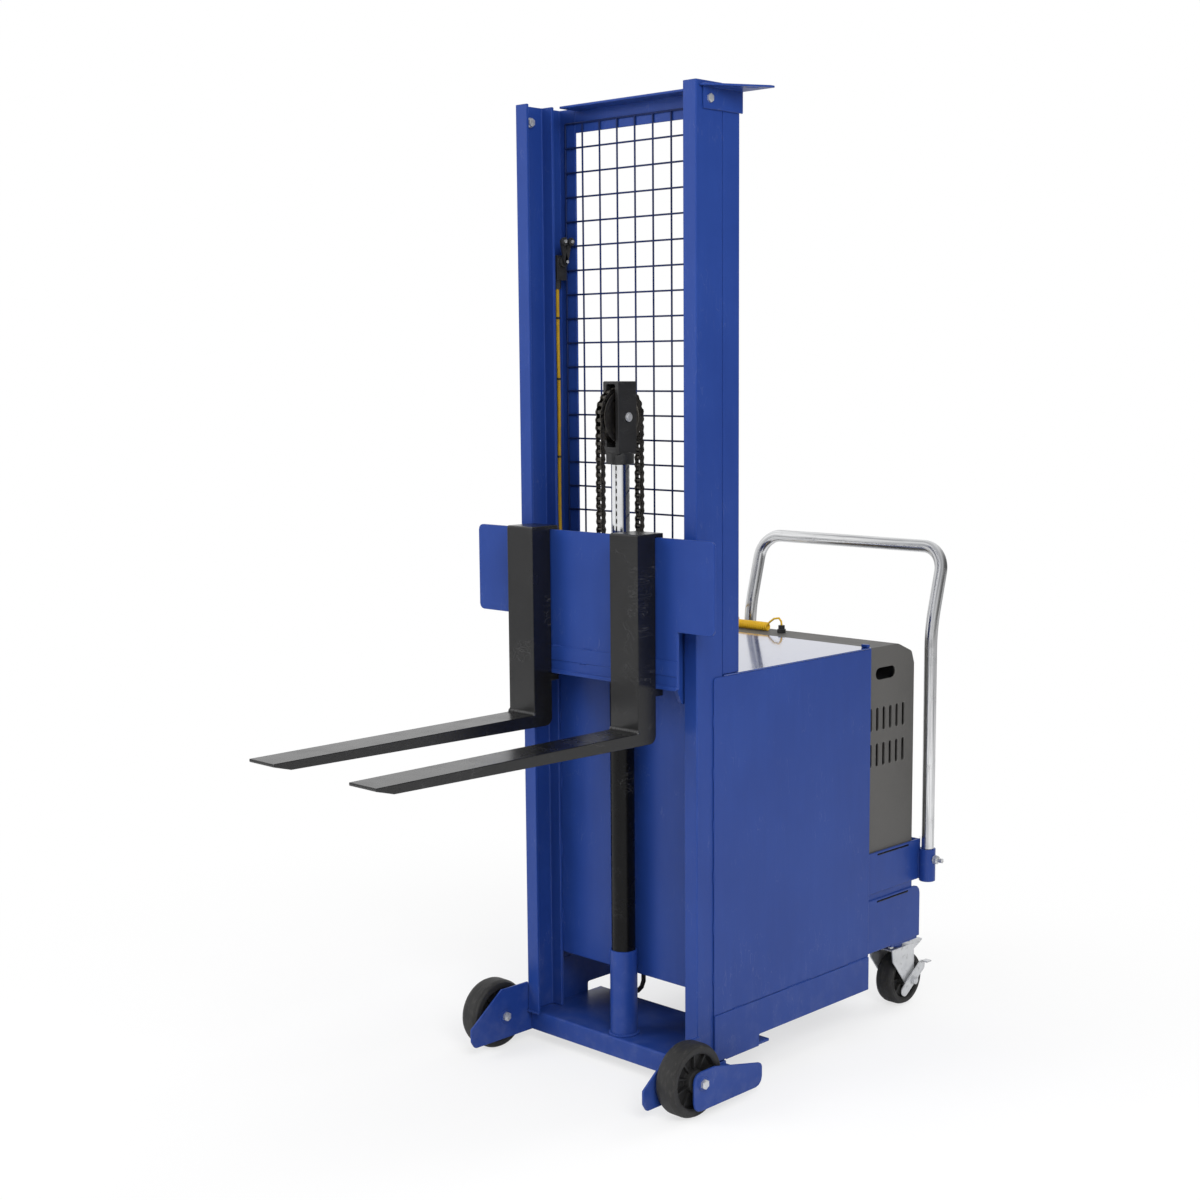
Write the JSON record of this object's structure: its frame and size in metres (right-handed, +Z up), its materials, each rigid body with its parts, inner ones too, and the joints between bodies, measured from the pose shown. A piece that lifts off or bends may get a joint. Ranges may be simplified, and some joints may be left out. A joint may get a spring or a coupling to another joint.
{
  "type": "walkie stacker",
  "caption": "Narrow pedestrian stacker: channel mast with wire guard, chain-lifted carriage with hook-on forks, boxed power unit, caster-mounted rear and tubular push handle.",
  "frame": {"origin": "bottom centre of the bounding box, on the floor", "axes": "+Z up; the forks point to -Y and the push handle stands at +Y; +X is the side of the top bracket"},
  "size_m": [0.674, 1.5915, 2.02],
  "materials": {
    "blue_paint": "semi-gloss enamel",
    "black_paint": "satin black enamel",
    "chrome": "bright plate",
    "zinc": "zinc plate",
    "dark_steel": "oiled steel",
    "wheel_rubber": "moulded black tread",
    "grey_paint": "fine-textured grey enamel",
    "black_plastic": "matt black moulding",
    "yellow_plastic": "yellow jacket"
  },
  "bodies": {
    "chassis": {"mast_left": "blue_paint", "mast_right": "blue_paint", "guard_angle_left": "blue_paint", "guard_angle_right": "blue_paint", "guard_top_angle": "blue_paint", "wire_guard": "blue_paint", "top_bracket": "blue_paint", "base_beam": "blue_paint", "side_panel_left": "blue_paint", "side_panel_right": "blue_paint", "side_rail_left": "blue_paint", "side_rail_right": "blue_paint", "front_panel": "blue_paint", "top_plate": "blue_paint", "deck": "blue_paint", "wheel_bracket_left": "blue_paint", "wheel_bracket_right": "blue_paint", "chain_anchor": "blue_paint", "rear_frame": "blue_paint", "cylinder_barrel": "black_paint", "top_bolt_left": "zinc", "top_bolt_right": "zinc", "switch_body": "black_plastic", "switch_cable": "yellow_plastic", "shroud": "grey_paint", "handle": "chrome", "caster_plate_left": "blue_paint", "caster_plate_right": "blue_paint", "battery": "black_plastic", "power_unit": "black_plastic", "hydraulic_pipe": "dark_steel", "pendant": "yellow_plastic", "pendant_hook": "black_plastic", "cord_gland": "black_plastic", "pendant_cord": "yellow_plastic", "chain_rear": "dark_steel"},
    "lift_head": {"cylinder_rod": "chrome", "rod_head": "black_paint", "chain_wrap": "dark_steel", "chain_front": "dark_steel"},
    "sheave": {"sheave": "dark_steel"},
    "carriage": {"carriage": "blue_paint"},
    "fork_left": {"fork_left": "black_paint"},
    "fork_right": {"fork_right": "black_paint"},
    "switch_lever": {"switch_lever": "zinc"},
    "caster_fork_left": {"caster_fork_left": "zinc"},
    "caster_fork_right": {"caster_fork_right": "zinc"},
    "brake_pedal_left": {"brake_pedal_left": "zinc"},
    "brake_pedal_right": {"brake_pedal_right": "zinc"},
    "roller_low_left": {"roller_low_left": "dark_steel"},
    "roller_low_right": {"roller_low_right": "dark_steel"},
    "roller_high_left": {"roller_high_left": "dark_steel"},
    "roller_high_right": {"roller_high_right": "dark_steel"},
    "wheel_left": {"wheel_left": "wheel_rubber"},
    "wheel_right": {"wheel_right": "wheel_rubber"},
    "caster_wheel_left": {"caster_wheel_left": "wheel_rubber"},
    "caster_wheel_right": {"caster_wheel_right": "wheel_rubber"},
    "button_up": {"button_up": "black_plastic"},
    "button_down": {"button_down": "black_plastic"}
  },
  "joints": [
    {"name": "rod_slide", "type": "slide", "parent": "chassis", "child": "lift_head", "axis": [0, 0, 1], "range_m": [-0.3555, 0.35], "deforming": ["chain_rear"]},
    {"name": "carriage_slide", "type": "slide", "parent": "lift_head", "child": "carriage", "axis": [0, 0, 1], "range_m": [-0.3555, 0.35], "deforming": ["chain_front"]},
    {"name": "sheave_spin", "type": "hinge", "parent": "lift_head", "child": "sheave", "pos_m": [0, -0.00075, 1.379], "axis": [1, 0, 0], "continuous": true},
    {"name": "roller_low_left_spin", "type": "hinge", "parent": "carriage", "child": "roller_low_left", "pos_m": [-0.2335, -0.00775, 0.862], "axis": [1, 0, 0], "continuous": true},
    {"name": "roller_low_right_spin", "type": "hinge", "parent": "carriage", "child": "roller_low_right", "pos_m": [0.2335, -0.00775, 0.862], "axis": [1, 0, 0], "continuous": true},
    {"name": "roller_high_left_spin", "type": "hinge", "parent": "carriage", "child": "roller_high_left", "pos_m": [-0.2335, -0.00775, 1.098], "axis": [1, 0, 0], "continuous": true},
    {"name": "roller_high_right_spin", "type": "hinge", "parent": "carriage", "child": "roller_high_right", "pos_m": [0.2335, -0.00775, 1.098], "axis": [1, 0, 0], "continuous": true},
    {"name": "fork_left_shift", "type": "slide", "parent": "carriage", "child": "fork_left", "axis": [1, 0, 0], "range_m": [-0.052, 0.094]},
    {"name": "fork_right_shift", "type": "slide", "parent": "carriage", "child": "fork_right", "axis": [1, 0, 0], "range_m": [-0.094, 0.052]},
    {"name": "wheel_left_spin", "type": "hinge", "parent": "chassis", "child": "wheel_left", "pos_m": [-0.2894, -0.11475, 0.075], "axis": [1, 0, 0], "continuous": true},
    {"name": "caster_left_swivel", "type": "hinge", "parent": "chassis", "child": "caster_fork_left", "pos_m": [-0.205, 0.67525, 0.155], "axis": [0, 0, 1], "continuous": true},
    {"name": "caster_left_spin", "type": "hinge", "parent": "caster_fork_left", "child": "caster_wheel_left", "pos_m": [-0.205, 0.71325, 0.0625], "axis": [1, 0, 0], "continuous": true},
    {"name": "brake_left_press", "type": "hinge", "parent": "caster_fork_left", "child": "brake_pedal_left", "pos_m": [-0.205, 0.71525, 0.1359], "axis": [1, 0, 0], "range_deg": [-9, 0]},
    {"name": "wheel_right_spin", "type": "hinge", "parent": "chassis", "child": "wheel_right", "pos_m": [0.2894, -0.11475, 0.075], "axis": [1, 0, 0], "continuous": true},
    {"name": "caster_right_swivel", "type": "hinge", "parent": "chassis", "child": "caster_fork_right", "pos_m": [0.205, 0.67525, 0.155], "axis": [0, 0, 1], "continuous": true},
    {"name": "caster_right_spin", "type": "hinge", "parent": "caster_fork_right", "child": "caster_wheel_right", "pos_m": [0.205, 0.71325, 0.0625], "axis": [1, 0, 0], "continuous": true},
    {"name": "brake_right_press", "type": "hinge", "parent": "caster_fork_right", "child": "brake_pedal_right", "pos_m": [0.205, 0.71525, 0.1359], "axis": [1, 0, 0], "range_deg": [-9, 0]},
    {"name": "switch_lever_tilt", "type": "hinge", "parent": "chassis", "child": "switch_lever", "pos_m": [-0.205, 0.04925, 1.702], "axis": [1, 0, 0], "range_deg": [-8, 25], "stiffness_Nm_per_rad": 0.6},
    {"name": "button_up_press", "type": "slide", "parent": "chassis", "child": "button_up", "axis": [0, -1, 0], "range_m": [0, 0.004], "stiffness_N_per_m": 600, "springref_m": -0.001},
    {"name": "button_down_press", "type": "slide", "parent": "chassis", "child": "button_down", "axis": [0, -1, 0], "range_m": [0, 0.004], "stiffness_N_per_m": 600, "springref_m": -0.001}
  ],
  "couplings": [
    {"joint": "carriage_slide", "follows": "rod_slide", "ratio": 1},
    {"joint": "sheave_spin", "follows": "rod_slide", "rad_per_m": -17.544},
    {"joint": "roller_low_left_spin", "follows": "rod_slide", "rad_per_m": -63.898},
    {"joint": "roller_low_right_spin", "follows": "rod_slide", "rad_per_m": -63.898},
    {"joint": "roller_high_left_spin", "follows": "rod_slide", "rad_per_m": 63.898},
    {"joint": "roller_high_right_spin", "follows": "rod_slide", "rad_per_m": 63.898}
  ]
}
